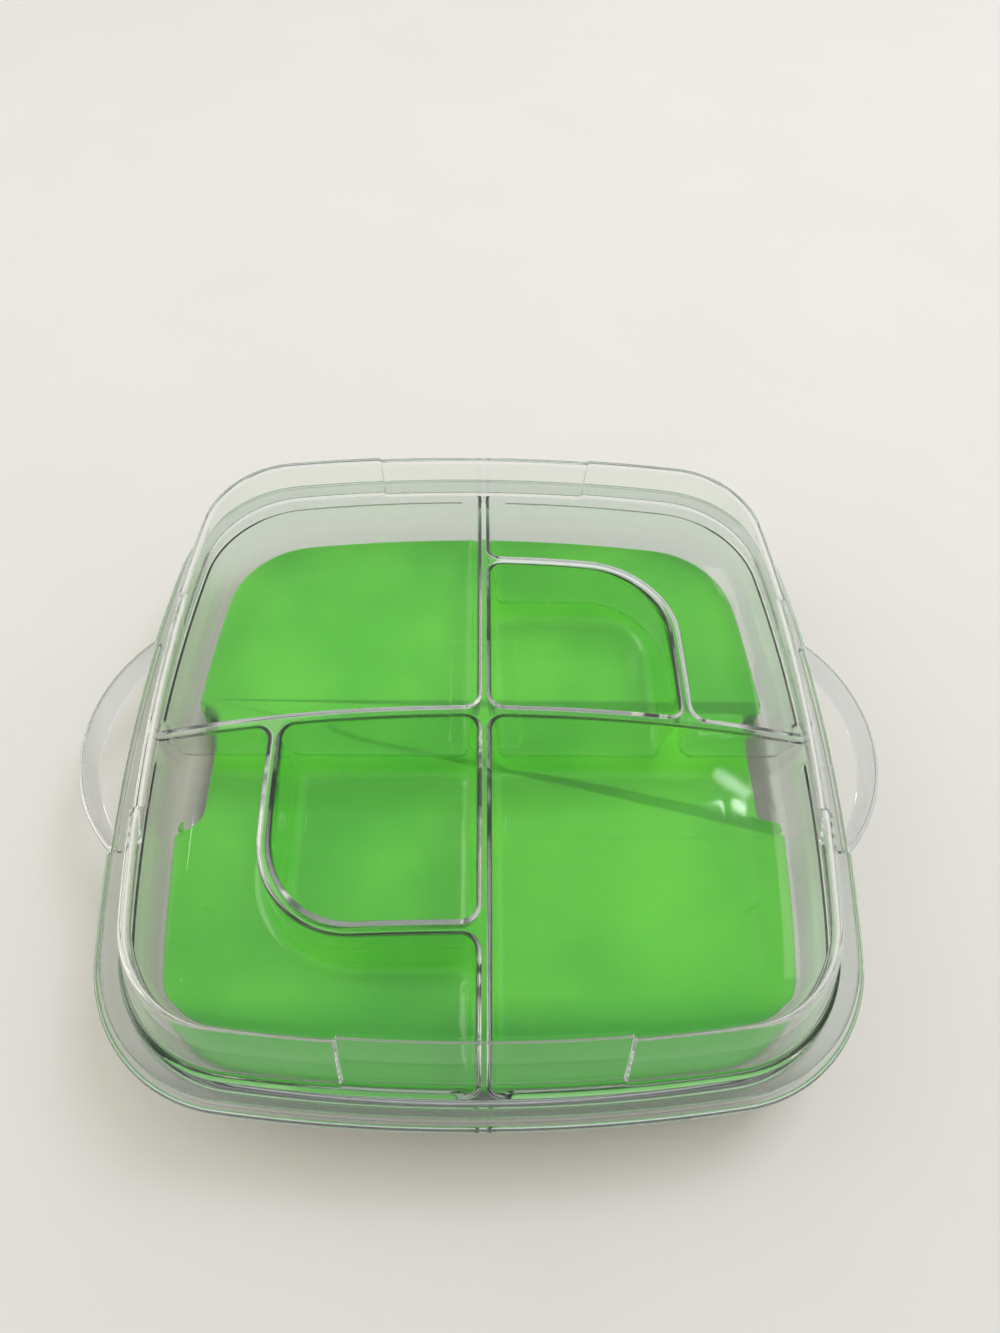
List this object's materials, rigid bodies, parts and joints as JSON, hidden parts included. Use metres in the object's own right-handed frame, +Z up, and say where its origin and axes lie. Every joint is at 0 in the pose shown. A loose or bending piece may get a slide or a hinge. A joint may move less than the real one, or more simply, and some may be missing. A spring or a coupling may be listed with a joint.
{
  "type": "chip and dip server",
  "caption": "Square clear server for chips and dips with a divided insert over a green freezer pack, in a handled tray under a clear lid.",
  "frame": {"origin": "centre of the base tray's foot, on the table", "axes": "+Z up, +X through a handle (the longest way), -Y the front; one dip cup is in the +X+Y quarter"},
  "size_m": [0.367, 0.326, 0.0909],
  "materials": {
    "clear_tray_plastic": "injection-moulded clear polystyrene, polished",
    "green_pack_plastic": "blow-moulded translucent polyethylene, soft gloss",
    "freezer_gel": "soft translucent gel",
    "plug_plastic": "spin-welded polyethylene plug",
    "clear_insert_plastic": "injection-moulded clear polystyrene, polished",
    "clear_lid_plastic": "injection-moulded clear polystyrene, polished"
  },
  "bodies": {
    "tray": {"base_tray": "clear_tray_plastic"},
    "pack": {"freezer_pack_shell": "green_pack_plastic", "freezer_gel": "freezer_gel", "fill_plug": "plug_plastic"},
    "insert": {"divided_insert": "clear_insert_plastic"},
    "cover": {"lid": "clear_lid_plastic"}
  },
  "joints": [
    {"name": "pack_lift", "type": "slide", "parent": "tray", "child": "pack", "axis": [0, 0, 1], "range_m": [0, 0.09]},
    {"name": "insert_lift", "type": "slide", "parent": "pack", "child": "insert", "axis": [0, 0, 1], "range_m": [0, 0.09]},
    {"name": "lid_lift", "type": "slide", "parent": "insert", "child": "cover", "axis": [0, 0, 1], "range_m": [0, 0.09]}
  ]
}
